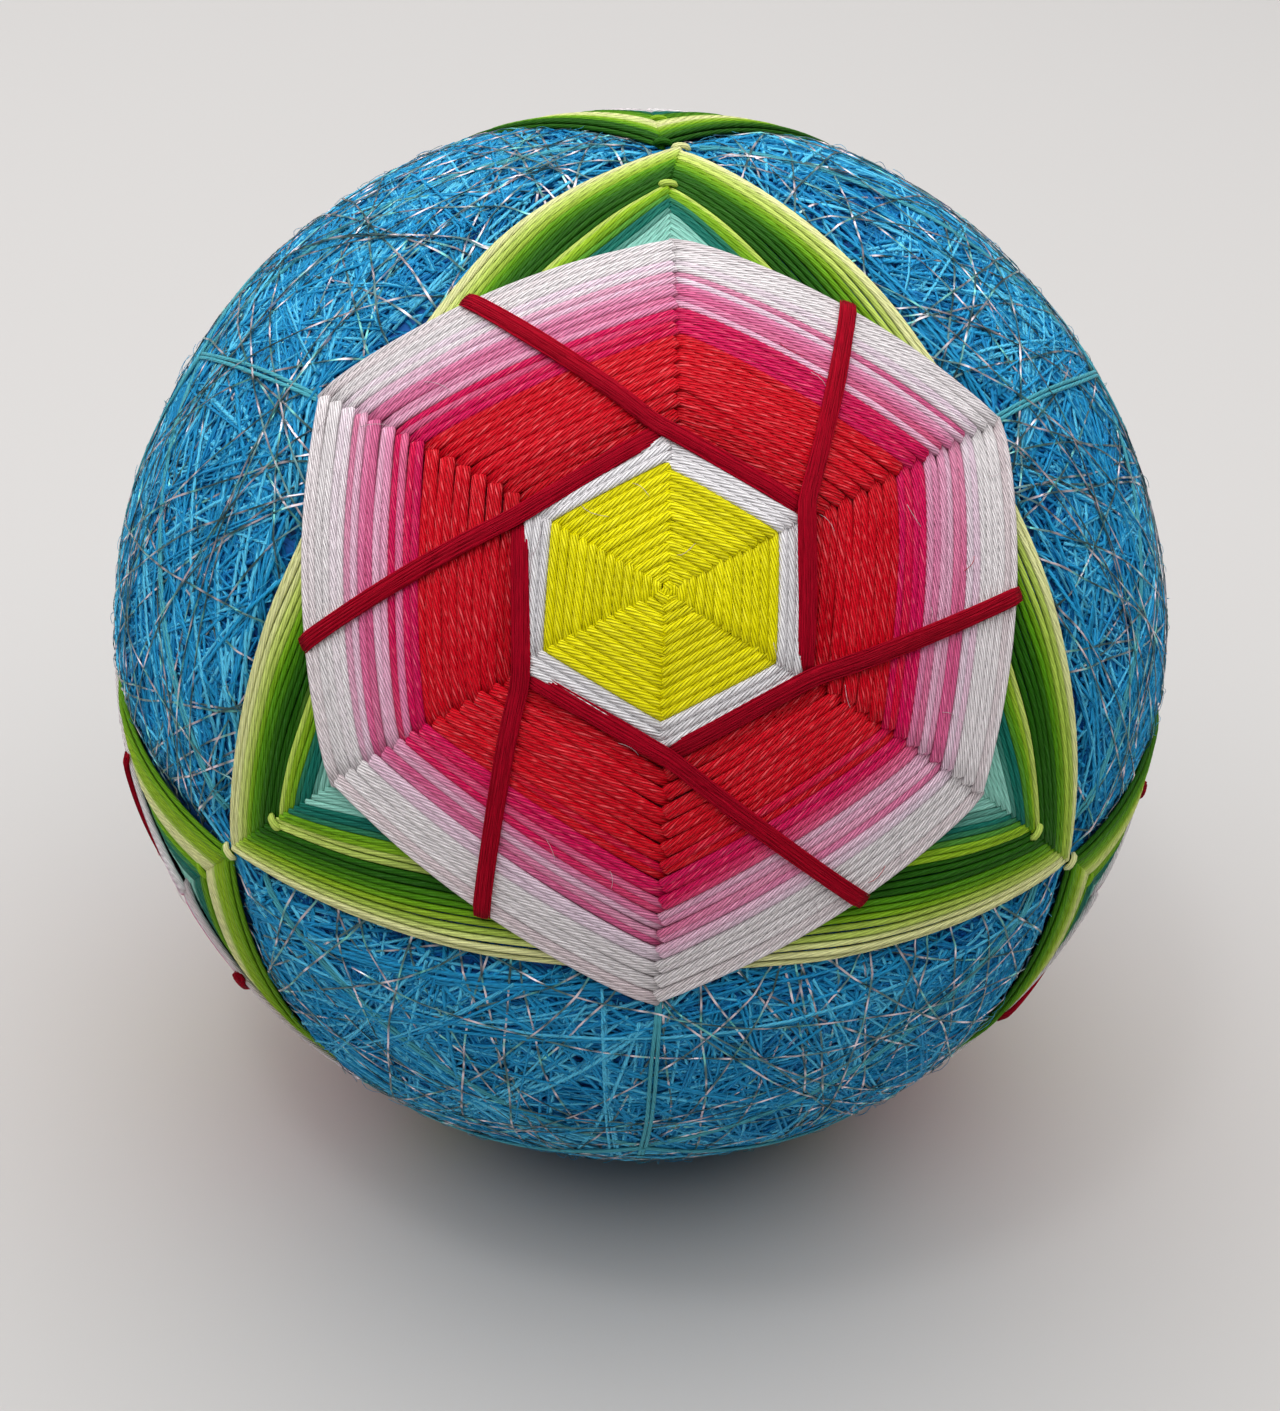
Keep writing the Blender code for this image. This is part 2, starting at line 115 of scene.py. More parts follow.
class Motif:
    def __init__(self, compass, side, leaf_tips=(), petal_corners=(), label=""):
        turn, rise = math.radians(compass), math.radians(FLOWER_TILT) * side
        self.axis = np.array([math.cos(turn) * math.cos(rise), math.sin(turn) * math.cos(rise), math.sin(rise)])
        pole = np.array([0.0, 0.0, side])
        self.up = unit(pole - self.axis * np.dot(self.axis, pole))
        self.right = np.cross(self.up, self.axis)
        self.leaf_tips = np.array(leaf_tips)
        self.petal_corners = np.array(petal_corners)
        self.bulges = LEAF_BULGES.get(label, USUAL_BULGES)
        self.tip_slip = TIP_SLIP.get(label, 0.0)
        angle = math.radians(SLIP_AZIMUTH)
        self.slip = np.array([math.cos(angle), math.sin(angle)]) * MIDDLE_SLIP.get(label, 0.0)
        corners = np.radians(np.arange(0, 360, 60))
        self.inner_corners = PETAL_INNER_CORNER + self.slip @ np.array([np.cos(corners), np.sin(corners)])

    def tangent(self, azimuth):
        angle = np.radians(azimuth)[..., None]
        return self.up * np.cos(angle) + self.right * np.sin(angle)

    def direction(self, radius, azimuth):
        angle = np.radians(np.asarray(radius, float))[..., None]
        return self.axis * np.cos(angle) + self.tangent(np.asarray(azimuth, float)) * np.sin(angle)

    def middle_direction(self, radius, azimuth):
        """The same, measured from where the middle of the flower really sits."""
        x = radius * np.cos(np.radians(azimuth)) + self.slip[0]
        y = radius * np.sin(np.radians(azimuth)) + self.slip[1]
        return self.direction(np.hypot(x, y), np.degrees(np.arctan2(y, x)))

    def measure(self, directions):
        radius = np.degrees(np.arccos(np.clip(directions @ self.axis, -1, 1)))
        azimuth = np.degrees(np.arctan2(directions @ self.right, directions @ self.up))
        return radius, azimuth % 360

    def polygon_radius(self, corners, azimuth):
        """Radius of the polygon of taut threads between corners of these radii."""
        step = 360 / len(corners)
        first = (azimuth / step).astype(int) % len(corners)
        second = (first + 1) % len(corners)
        plane = np.cross(self.direction(corners[first], first * step), self.direction(corners[second], second * step))
        toward = np.sum(self.tangent(azimuth) * plane, axis=-1)
        return np.degrees(np.arctan2(-(plane @ self.axis), toward) % math.pi)

    def leaf_row(self, share):
        return self.leaf_tips + (LEAF_INNER_TIP - self.leaf_tips) * share

    def leaf_tip(self, index, place):
        """Direction of a corner of the leaf row at this place."""
        turned = self.tip_slip * max(0, 1 - 2.5 * place) if index % 3 == 0 else 0.0
        return self.direction(self.leaf_row(place)[index % 3], index % 3 * 120.0 + turned)

    def bulge(self, side, share):
        """How far the rows lie outside the straight side, in degrees."""
        most, place, width = self.bulges[side]
        return most * np.exp(-(((share - place) / width) ** 2)) * np.sin(np.clip(share, 0, 1) * math.pi) ** 0.3

    def beside_leaf(self, directions):
        """How far outside the leaf frame, in degrees, below 0 on it."""
        beyond = []
        for side in range(3):
            start, end = self.leaf_tip(side, 0), self.leaf_tip(side + 1, 0)
            plane = unit(np.cross(start, end))
            share = np.arctan2(directions @ np.cross(plane, start), directions @ start) / math.acos(start @ end)
            beyond.append(np.degrees(np.arcsin(directions @ plane)) - self.bulge(side, share))
        return np.max(beyond, axis=0)

    def petal_row(self, share):
        return self.petal_corners + (self.inner_corners - self.petal_corners) * share

    def beside_petals(self, directions):
        radius, azimuth = self.measure(directions)
        return radius - self.polygon_radius(self.petal_row(0), azimuth)

    def leaf_thickness(self, directions):
        """The leaf frame is pressed thin under the petals and full beside them."""
        rise = smooth((self.beside_petals(directions) - LEAF_CLEAR) / LEAF_RISE)
        return LEAF_COVERED_THICKNESS + (LEAF_THICKNESS - LEAF_COVERED_THICKNESS) * rise

    def petal_top(self, directions):
        """The petals lie over the leaf frame, and come down to the ball in the middle."""
        radius, azimuth = self.measure(directions)
        inside = self.polygon_radius(self.leaf_row(1), azimuth) - radius - COVER_MARGIN
        floor = SEAT_RADIUS + PETAL_FLOOR * smooth(1 - inside / COVER_INSIDE)
        outer = self.polygon_radius(self.petal_row(0), azimuth)
        inner = self.polygon_radius(self.petal_row(1), azimuth)
        from_inside = np.clip((radius - inner) / (outer - inner), 0, 1)
        height = np.minimum(0.60 + 0.40 * from_inside / 0.18, 1)
        return floor + (SEAT_RADIUS + PETAL_TOP - floor) * height


MOTIFS = {label: Motif(compass, side, tips, corners, label) for label, compass, side, tips, corners in FLOWERS}
FIELDS = {label: Motif(compass, -side) for label, compass, side, tips, corners in FLOWERS}
spread = math.degrees(math.acos(MOTIFS["front"].axis @ MOTIFS["left"].axis))
print("flowers are", round(spread, 2), "degrees apart")

# %% [markdown]
# ## Where the blue ground is open
# The blue winding is at its full height in the open, and taut stitching presses it in along every
# border. So each direction is measured against the leaf frames and the petals of all four flowers.

# %% The open fields
FIELD_START, FIELD_RAMP, PETAL_RAMP = 0.3, 2.4, 3.0


def field_share(directions):
    """1 in the open blue fields, falling to 0 under the stitching."""
    share = np.ones(len(directions))
    for motif in MOTIFS.values():
        share = np.minimum(share, (motif.beside_leaf(directions) - FIELD_START) / FIELD_RAMP)
        near = directions @ motif.axis > 0.5
        share = np.where(near, np.minimum(share, (motif.beside_petals(directions) + 0.6) / PETAL_RAMP), share)
    return smooth(share)


def open_ground(directions, margin=1.2):
    """True where neither a leaf frame nor petals cover the winding."""
    shown = np.ones(len(directions), bool)
    for motif in MOTIFS.values():
        shown &= (motif.beside_leaf(directions) > -margin * 0.5) & (motif.beside_petals(directions) > -margin)
    return shown


def open_runs(shown):
    """First and last index of each stretch that shows."""
    edges = np.flatnonzero(np.diff(np.concatenate([[0], shown.astype(int), [0]])))
    return [(first, last) for first, last in zip(edges[::2], edges[1::2]) if last - first > 1]


def random_direction(draw):
    return unit(draw.normal(size=3))


probe = unit(np.random.default_rng(1).normal(size=(4000, 3)))
print("open ground:", round(100 * open_ground(probe).mean()), "% of the ball")

# %% [markdown]
# ## Thread colours
# The cotton is shaded: one thread is dyed from one tone to the next along its length, so rows that
# follow each other differ a little, and a row drifts as it goes round. The tones are written as a
# dyer's card, and a run gives the tones in order from the outside of a shape to its inside.


# %% The dyer's card
def dye(red, green, blue):
    """A tone as the eye sees it, 0 to 255, turned into the amount of light that Blender reckons with."""
    tone = np.array([red, green, blue]) / 255
    return np.where(tone <= 0.04045, tone / 12.92, ((tone + 0.055) / 1.055) ** 2.4)


TONES = {
    "blue": dye(36, 157, 212),
    # The pale blue below is the blue thread with a painted highlight, and the dark blue after it is the blue thread in
    # painted shade.
    "bright_blue": dye(92, 204, 244),
    "painted_shade_blue": dye(0, 92, 170),
    "turquoise": dye(78, 170, 186),
    "yellow": dye(255, 246, 0),
    "white": dye(250, 247, 250),
    "beige_white": dye(250, 243, 245),
    "pinkish_beige": dye(240, 222, 226),
    "lilac_white": dye(250, 226, 242),
    "pale_pink": dye(248, 196, 222),
    "pink": dye(242, 140, 184),
    "rose": dye(232, 96, 150),
    "hot_pink": dye(228, 10, 92),
    "red": dye(226, 0, 30),
    "deep_red": dye(205, 0, 24),
    "crimson": dye(176, 0, 34),
    "straw": dye(232, 234, 166),
    "pale_green": dye(206, 226, 112),
    "yellow_green": dye(150, 190, 34),
    "mid_green": dye(88, 152, 8),
    "dark_green": dye(34, 94, 0),
    "teal": dye(14, 110, 94),
    "aqua": dye(142, 206, 190),
    "silver": dye(232, 216, 222),
    "foil_green": dye(84, 118, 120),
    "foil_aqua": dye(120, 206, 198),
}


def shade(run, place):
    """The tone of a shaded thread at each place of its run, from 0 to 1."""
    stops = np.array([stop for stop, name in run])
    tones = np.array([TONES[name] for stop, name in run])
    return np.stack([np.interp(place, stops, tones[:, channel]) for channel in range(3)], axis=-1)


print("tones on the card:", len(TONES))

# %% [markdown]
# ## Laying threads
# Every visible thread is a closed tube. Thousands of separate objects would be slow, so a Skein
# gathers tubes as arrays and then makes one joined mesh. Each point of a tube knows how far along the
# thread it lies and how far round it, which is all that the twist in the material needs, and carries
# the tone of its thread.


# %% A skein of threads
class Skein:
    def __init__(self):
        self.points, self.tones, self.quads, self.caps, self.places, self.cap_places = [], [], [], [], [], []
        self.count = 0

    def lay(self, path, width, thickness, tone, sides=6, along=0.0, turns=0.0, taper=1.0):
        """A tube round a path. turns twists its section, in turns a metre. taper draws its ends in."""
        length = np.concatenate([[0], np.cumsum(np.linalg.norm(np.diff(path, axis=0), axis=1))])
        forward = unit(np.gradient(path, axis=0))
        across = unit(np.cross(forward, unit(path - CENTRE)))
        out = np.cross(across, forward)
        around = np.arange(sides) / sides
        angle = 2 * math.pi * (around[None, :] + turns * length[:, None]) + math.pi / sides
        size = np.ones(len(path))
        size[0] = size[-1] = taper
        lift = np.sin(angle) * (thickness / 2) * size[:, None]
        side = np.cos(angle) * (width / 2) * size[:, None]
        ring = path[:, None, :] + out[:, None, :] * lift[..., None] + across[:, None, :] * side[..., None]
        count, first = len(path), self.count
        row, column = np.meshgrid(np.arange(count - 1), np.arange(sides), indexing="ij")
        following = (column + 1) % sides
        quads = np.stack([row * sides + column, (row + 1) * sides + column,
                          (row + 1) * sides + following, row * sides + following], axis=-1)
        self.quads.append(quads.reshape(-1, 4) + first)
        distance = (along + length) * 1000
        low, high = column / sides, (column + 1) / sides
        near, far = distance[row], distance[row + 1]
        places = np.stack([np.stack([near, low], -1), np.stack([far, low], -1),
                           np.stack([far, high], -1), np.stack([near, high], -1)], axis=-2)
        self.places.append(places.reshape(-1, 2))
        start = np.arange(sides) + first
        end = (count - 1) * sides + np.arange(sides)[::-1] + first
        self.caps += [start.tolist(), end.tolist()]
        self.cap_places.append(np.stack([np.full(sides, distance[0]), around], -1))
        self.cap_places.append(np.stack([np.full(sides, distance[-1]), around[::-1]], -1))
        self.points.append(ring.reshape(-1, 3))
        self.tones.append(np.repeat(np.broadcast_to(tone, (count, 3)), sides, axis=0))
        self.count += count * sides

    def bed(self, grid, tones):
        """A closed band under the threads. grid is columns round the shape by rows round the band."""
        columns, rows = grid.shape[:2]
        column, row = np.meshgrid(np.arange(columns), np.arange(rows), indexing="ij")
        next_column, next_row = (column + 1) % columns, (row + 1) % rows
        quads = np.stack([column * rows + row, column * rows + next_row,
                          next_column * rows + next_row, next_column * rows + row], axis=-1)
        self.quads.append(quads.reshape(-1, 4) + self.count)
        self.places.append(np.zeros((columns * rows * 4, 2)))
        self.points.append(grid.reshape(-1, 3))
        self.tones.append(np.broadcast_to(tones, grid.shape).reshape(-1, 3))
        self.count += columns * rows

    def mesh(self, name, smooth_faces=True):
        points = np.concatenate(self.points)
        points[:, 2] = np.maximum(points[:, 2], 0)
        made = bpy.data.meshes.new(name)
        made.from_pydata(points, [], np.concatenate(self.quads).tolist() + self.caps)
        places = made.uv_layers.new(name="thread")
        places.data.foreach_set("uv", np.concatenate(self.places + self.cap_places).ravel())
        tones = made.color_attributes.new(name="thread_tone", type="FLOAT_COLOR", domain="POINT")
        colours = np.concatenate(self.tones)
        tones.data.foreach_set("color", np.concatenate([colours, np.ones((len(colours), 1))], axis=1).ravel())
        made.polygons.foreach_set("use_smooth", np.full(len(made.polygons), smooth_faces))
        made.update()
        return made


def place_piece(name, mesh, material, replaced=()):
    """Links a finished piece, which sits at the origin with its place in its mesh."""
    piece = bpy.data.objects.new(name, mesh)
    mesh.materials.append(material)
    bpy.context.scene.collection.objects.link(piece)
    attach(piece, "root")
    if replaced:
        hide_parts(*replaced)
    mesh.calc_loop_triangles()
    print(name, "has", len(mesh.loop_triangles), "triangles")
    return piece


print("ready to lay threads")

# %% [markdown]
# ## The twist of a thread
# Silky cotton is spun from many fine plies that lean steeply along the thread. Seen close, it is a
# field of long bright streaks with faint dark lines between. A shader node group draws them from the
# place along and round the thread, and gives a height for the bump and a colour with painted shade in
# the grooves between plies and painted highlights on proud plies.


# %% The node group for twisted plies
def wire(tree, start, end):
    tree.links.new(start, end)


def sum_node(tree, operation, first, second=None, third=None):
    node = tree.nodes.new("ShaderNodeMath")
    node.operation = operation
    for socket, value in zip(node.inputs, (first, second, third)):
        if value is None:
            continue
        if isinstance(value, (int, float)):
            socket.default_value = value
        else:
            tree.links.new(value, socket)
    return node.outputs[0]


def fibre_noise(tree, ply, distance, ply_scale, along_scale):
    """Noise drawn out along the plies."""
    place = tree.nodes.new("ShaderNodeCombineXYZ")
    wire(tree, sum_node(tree, "MULTIPLY", ply, ply_scale), place.inputs[0])
    wire(tree, sum_node(tree, "MULTIPLY", distance, along_scale), place.inputs[1])
    noise = tree.nodes.new("ShaderNodeTexNoise")
    noise.inputs["Scale"].default_value = 1.0
    noise.inputs["Detail"].default_value = 2.0
    wire(tree, place.outputs[0], noise.inputs["Vector"])
    return sum_node(tree, "SUBTRACT", noise.outputs["Fac"], 0.5)


def make_ply_group():
    group = bpy.data.node_groups.new("twisted_plies", "ShaderNodeTree")
    for name, value in (("Plies", 9.0), ("Lean", 6.3), ("Groove shade", 0.3), ("Fibres", 0.5), ("Painted gleam", 0.3)):
        socket = group.interface.new_socket(name, in_out="INPUT", socket_type="NodeSocketFloat")
        socket.default_value = value
    group.interface.new_socket("Tone", in_out="INPUT", socket_type="NodeSocketColor")
    group.interface.new_socket("Colour", in_out="OUTPUT", socket_type="NodeSocketColor")
    group.interface.new_socket("Height", in_out="OUTPUT", socket_type="NodeSocketFloat")
    inside = group.nodes.new("NodeGroupInput")
    outside = group.nodes.new("NodeGroupOutput")
    place = group.nodes.new("ShaderNodeUVMap")
    place.uv_map = "thread"
    split = group.nodes.new("ShaderNodeSeparateXYZ")
    wire(group, place.outputs[0], split.inputs[0])
    # How many plies have gone by: round the thread, and along it at one turn for each lean, in mm.
    leaned = sum_node(group, "DIVIDE", split.outputs[0], inside.outputs["Lean"])
    ply = sum_node(group, "MULTIPLY", sum_node(group, "SUBTRACT", split.outputs[1], leaned), inside.outputs["Plies"])
    wave = sum_node(group, "ABSOLUTE", sum_node(group, "SINE", sum_node(group, "MULTIPLY", ply, math.pi)))
    rounded = sum_node(group, "POWER", wave, 0.6)
    # Noise along the plies makes single plies lighter for a millimetre or two and darker elsewhere, partly uneven fibre
    # tone and partly painted light, and finer fibres run along them.
    broad = fibre_noise(group, ply, split.outputs[0], 1.0, 0.55)
    fine = fibre_noise(group, ply, split.outputs[0], 3.5, 1.1)
    uneven = sum_node(group, "ADD", broad, fine)
    fibre_and_light = sum_node(group, "MULTIPLY", uneven, inside.outputs["Fibres"])
    wire(group, sum_node(group, "ADD", rounded, fibre_and_light), outside.inputs["Height"])
    # Painted shade: the colour is darkened in the grooves between plies, where the height is low.
    painted_groove_shade = sum_node(group, "MULTIPLY", sum_node(group, "SUBTRACT", 1.0, rounded), inside.outputs["Groove shade"])
    light = sum_node(group, "ADD", sum_node(group, "SUBTRACT", 1.0, painted_groove_shade), fibre_and_light)
    shaded = group.nodes.new("ShaderNodeVectorMath")
    shaded.operation = "SCALE"
    wire(group, inside.outputs["Tone"], shaded.inputs[0])
    wire(group, light, shaded.inputs["Scale"])
    # Where a ply stands proud, a painted highlight adds white to the colour, for the light that silk gives back.
    proud = sum_node(group, "MAXIMUM", sum_node(group, "SUBTRACT", uneven, 0.06), 0.0)
    proud = sum_node(group, "MULTIPLY", proud, rounded)
    painted_gleam = sum_node(group, "MULTIPLY", proud, inside.outputs["Painted gleam"])
    lit = group.nodes.new("ShaderNodeVectorMath")
    lit.operation = "ADD"
    wire(group, shaded.outputs[0], lit.inputs[0])
    wire(group, painted_gleam, lit.inputs[1])
    wire(group, lit.outputs[0], outside.inputs["Colour"])
    return group


PLY_GROUP = make_ply_group()
print("group", PLY_GROUP.name, "has", len(PLY_GROUP.nodes), "nodes")

# %% [markdown]
# ## The thread materials
# One function makes each cotton: how silky it is, how strongly its plies show in bump and in painted
# shade between them, how much painted gleam its proud plies get, and how much stray fibre dulls it.
# Numbers that are the same all over a thread are set on the shader itself.


# %% Materials for cotton
def new_material(name):
    made = bpy.data.materials.new(name)
    made.use_nodes = True
    return made, made.node_tree, made.node_tree.nodes["Principled BSDF"]


def cotton(name, roughness=0.42, gloss=0.14, plies=9.0, lean=6.3, groove_shade=0.26, fibres=0.6, painted_gleam=0.6,
           relief=0.00012):
    made, tree, shader = new_material(name)
    tone = tree.nodes.new("ShaderNodeVertexColor")
    tone.layer_name = "thread_tone"
    twist = tree.nodes.new("ShaderNodeGroup")
    twist.node_tree = PLY_GROUP
    for socket, value in (("Plies", plies), ("Lean", lean), ("Groove shade", groove_shade), ("Fibres", fibres),
                          ("Painted gleam", painted_gleam)):
        twist.inputs[socket].default_value = value
    wire(tree, tone.outputs["Color"], twist.inputs["Tone"])
    wire(tree, twist.outputs["Colour"], shader.inputs["Base Color"])
    bump = tree.nodes.new("ShaderNodeBump")
    bump.inputs["Strength"].default_value = 1.0
    bump.inputs["Distance"].default_value = relief
    wire(tree, twist.outputs["Height"], bump.inputs["Height"])
    wire(tree, bump.outputs["Normal"], shader.inputs["Normal"])
    shader.inputs["Roughness"].default_value = roughness
    shader.inputs["Specular IOR Level"].default_value = gloss
    return made


SILKY = cotton("silky_cotton", painted_gleam=0.15)
SHADED = cotton("shaded_cotton")
LEAFY = cotton("leaf_cotton", 0.6, 0.12, plies=7, lean=9.0, groove_shade=0.2, painted_gleam=0.08, relief=0.00006)
YARN = cotton("crimson_yarn", 0.8, 0.08, plies=5, lean=14.0, groove_shade=0.2, painted_gleam=0.02, relief=0.00006)
FINE = cotton("fine_blue_thread", 0.6, 0.12, plies=3, lean=2.4, groove_shade=0.15, painted_gleam=0.08, relief=0.00004)
DIVIDING = cotton("dividing_thread", 0.6, 0.12, plies=4, lean=4.0, groove_shade=0.2, painted_gleam=0.06, relief=0.00005)
print("cottons:", [material.name for material in (SILKY, SHADED, LEAFY, YARN, FINE, DIVIDING)])


# %% A material for metallic filament
def foil(name):
    made, tree, shader = new_material(name)
    tone = tree.nodes.new("ShaderNodeVertexColor")
    tone.layer_name = "thread_tone"
    wire(tree, tone.outputs["Color"], shader.inputs["Base Color"])
    shader.inputs["Metallic"].default_value = 0.75
    shader.inputs["Roughness"].default_value = 0.3
    return made


FOIL = foil("metallic_foil")
print("foil:", FOIL.name)

# %% [markdown]
# ## The wound core
# Under the threads that show are many more, down to the wadding. They are seen only as dark blue
# glimpses, so the core is one ball, pressed in and out a little, whose material draws crossing turns
# of thread in painted shade: a dark blue that is darker still in the gaps between the turns. A
# primitive sphere is the start, and its points are moved by the bands of winding.

# %% The core of the ball
WINDING_BANDS = ((12, 20, 1.0), (48, 75, 0.8), (71, 140, 0.9), (33, 205, 0.7), (84, 260, 1.0), (60, 320, 0.8))
CORE_DEPTH, WINDING_DEPTH = 0.00055, 0.00070


def winding_rise(directions):
    """How far the broad bands of winding lift the ball's surface, from 0 to 1."""
    rise = np.zeros(len(directions))
    for lean, compass, strength in WINDING_BANDS:
        level, turn = math.sin(math.radians(lean)), math.radians(compass)
        pole = np.array([level * math.cos(turn), level * math.sin(turn), math.cos(math.radians(lean))])
        rise = np.maximum(rise, strength * np.exp(-((directions @ pole / 0.16) ** 2)))
    return rise


def ground_level(directions):
    """Radius of the top of the winding: full in the open, pressed in under the stitching."""
    return BALL_RADIUS - 0.00012 * (1 - winding_rise(directions)) - WINDING_DEPTH * (1 - field_share(directions))


def make_core_material():
    made, tree, shader = new_material("deep_winding")
    place = tree.nodes.new("ShaderNodeTexCoord")
    total = None
    for turn in ((0.3, 0.9, 0.1), (1.4, 0.2, 0.8), (0.7, 2.1, 1.3), (2.2, 1.2, 0.4)):
        mapping = tree.nodes.new("ShaderNodeMapping")
        mapping.vector_type = "POINT"
        mapping.inputs["Location"].default_value = (0, 0, -CENTRE[2])
        mapping.inputs["Rotation"].default_value = turn
        wire(tree, place.outputs["Object"], mapping.inputs["Vector"])
        wave = tree.nodes.new("ShaderNodeTexWave")
        wave.inputs["Scale"].default_value = 520
        wave.inputs["Distortion"].default_value = 2.0
        wave.inputs["Detail"].default_value = 1.0
        wave.inputs["Detail Scale"].default_value = 0.3
        wire(tree, mapping.outputs["Vector"], wave.inputs["Vector"])
        total = wave.outputs["Fac"] if total is None else sum_node(tree, "MAXIMUM", total, wave.outputs["Fac"])
    ramp = tree.nodes.new("ShaderNodeValToRGB")
    # Painted shade: the gaps between the drawn turns are the shaded blue at a third of its light, the turns the shaded
    # blue itself.
    ramp.color_ramp.elements[0].position = 0.55
    ramp.color_ramp.elements[0].color = (*TONES["painted_shade_blue"] * 0.35, 1)
    ramp.color_ramp.elements[1].color = (*TONES["painted_shade_blue"], 1)
    wire(tree, total, ramp.inputs["Fac"])
    wire(tree, ramp.outputs["Color"], shader.inputs["Base Color"])
    bump = tree.nodes.new("ShaderNodeBump")
    bump.inputs["Distance"].default_value = 0.0002
    wire(tree, total, bump.inputs["Height"])
    wire(tree, bump.outputs["Normal"], shader.inputs["Normal"])
    shader.inputs["Roughness"].default_value = 0.8
    return made


bpy.ops.mesh.primitive_ico_sphere_add(subdivisions=6, radius=1, location=(0, 0, 0))
core = bpy.context.object
directions = unit(np.array([vertex.co for vertex in core.data.vertices]))
levels = ground_level(directions) - CORE_DEPTH
core.data.vertices.foreach_set("co", (CENTRE + directions * levels[:, None]).ravel())
core.data.shade_smooth()
core_mesh = core.data
core_mesh.name = "winding_core"
bpy.data.objects.remove(core)
place_piece("winding_core", core_mesh, make_core_material(), ["wound_ball"])

# %% [markdown]
# ## The blue winding
# The winder turns the ball a little all the time, so turns cross at every angle, and only a few in a
# row lie side by side. Each turn is a great circle, given by its pole. The first turns lie deep and
# are painted darker, as painted shade; the last lie on top and are painted lighter, some in a pale
# blue as a painted highlight. Parts that stitching hides are left out.

# %% Wind the blue thread
BLUE_STEPS = 60
BLUE_WIDTH = 0.00037


def wind_blue(turns, deepest, highest, seed):
    draw = np.random.default_rng(seed)
    skein = Skein()
    left_in_bundle = 0
    for turn in range(turns):
        if left_in_bundle == 0:
            pole = random_direction(draw)
            left_in_bundle = int(draw.choice([1, 2, 3, 5], p=[0.35, 0.3, 0.2, 0.15]))
            drift = random_direction(draw)
        left_in_bundle -= 1
        pole = unit(pole + drift * draw.uniform(0.008, 0.04) + draw.normal(size=3) * 0.008)
        across = unit(np.cross(pole, random_direction(draw)))
        along = np.cross(pole, across)
        angle = np.linspace(0, 2 * math.pi, BLUE_STEPS, endpoint=False) + draw.uniform(0, 1)
        circle = across * np.cos(angle)[:, None] + along * np.sin(angle)[:, None]
        place = turn / turns
        depth = deepest + (highest - deepest) * place + draw.uniform(-0.00008, 0.00008)
        wobble = 0.00006 * np.sin(angle * draw.integers(2, 7) + draw.uniform(0, 6))
        wobble += 0.00005 * np.sin(angle * draw.integers(9, 17) + draw.uniform(0, 6))
        path = CENTRE + circle * (ground_level(circle) - depth + wobble)[:, None]
        # Painted shade and light: deep turns are mixed toward a shaded blue and high turns toward the thread's blue,
        # with some random spread, and some high turns take a pale blue as a painted highlight.
        painted_depth_light = np.clip(1.1 - depth / CORE_DEPTH + draw.uniform(-0.3, 0.3), 0, 1)
        tone = TONES["painted_shade_blue"] * (1 - painted_depth_light) + TONES["blue"] * painted_depth_light
        if draw.uniform() < 0.35 * painted_depth_light:
            tone = TONES["bright_blue"]
        for first, last in open_runs(open_ground(circle)):
            skein.lay(path[first:last], BLUE_WIDTH * draw.uniform(0.8, 1.15), BLUE_WIDTH * 0.8, tone, sides=3,
                      along=draw.uniform(0, 0.01))
    return skein


for name, turns, deepest, highest, seed in (
    ("winding_lower", 900, 0.00060, 0.00030, 11), ("winding_upper", 900, 0.00030, -0.00002, 12)
):
    place_piece(name, wind_blue(turns, deepest, highest, seed).mesh(name), FINE)

# %% [markdown]
# ## The glitter in the winding
# A fine metallic filament was wound in with the last turns. It is a narrow foil, twisted, so it is
# grey-green for most of its length and catches the light in short flashes of silver and aqua. A
# three-sided tube that turns on itself, with flat faces, gives those flashes from any side.

# %% Wind the metallic filament
FOIL_TURNS, FOIL_STEPS = 110, 350


def wind_foil(turns, seed):
    draw = np.random.default_rng(seed)
    skein = Skein()
    names = ("foil_green", "silver", "foil_aqua")
    for turn in range(turns):
        pole = random_direction(draw)
        across = unit(np.cross(pole, random_direction(draw)))
        along = np.cross(pole, across)
        angle = np.linspace(0, 2 * math.pi, FOIL_STEPS, endpoint=False)
        sway = 0.010 * np.sin(angle * draw.integers(2, 6) + draw.uniform(0, 6))
        sway += 0.003 * np.sin(angle * draw.integers(11, 23) + draw.uniform(0, 6))
        circle = unit(across * np.cos(angle)[:, None] + along * np.sin(angle)[:, None] + pole * sway[:, None])
        depth = draw.uniform(-0.00026, 0.00004) + 0.00009 * np.sin(angle * 9 + draw.uniform(0, 6))
        path = CENTRE + circle * (ground_level(circle) - depth)[:, None]
        mood = draw.choice(3, size=FOIL_STEPS, p=[0.60, 0.28, 0.12])
        tone = np.array([TONES[name] for name in names])[mood] * draw.uniform(0.6, 1.2, (FOIL_STEPS, 1))
        for first, last in open_runs(open_ground(circle)):
            skein.lay(path[first:last], 0.00021, 0.00013, tone[first:last], sides=3, turns=340)
    return skein


place_piece("metallic_filament", wind_foil(FOIL_TURNS, 21).mesh("metallic_filament", smooth_faces=False), FOIL)

# %% [markdown]
# ## The dividing threads
# Six great circles divide the ball. They show as doubled turquoise threads on the blue fields, where
# they cross at the middle. The lines to the petal corners lie on top, and those to the leaf tips have
# sunk into the winding.


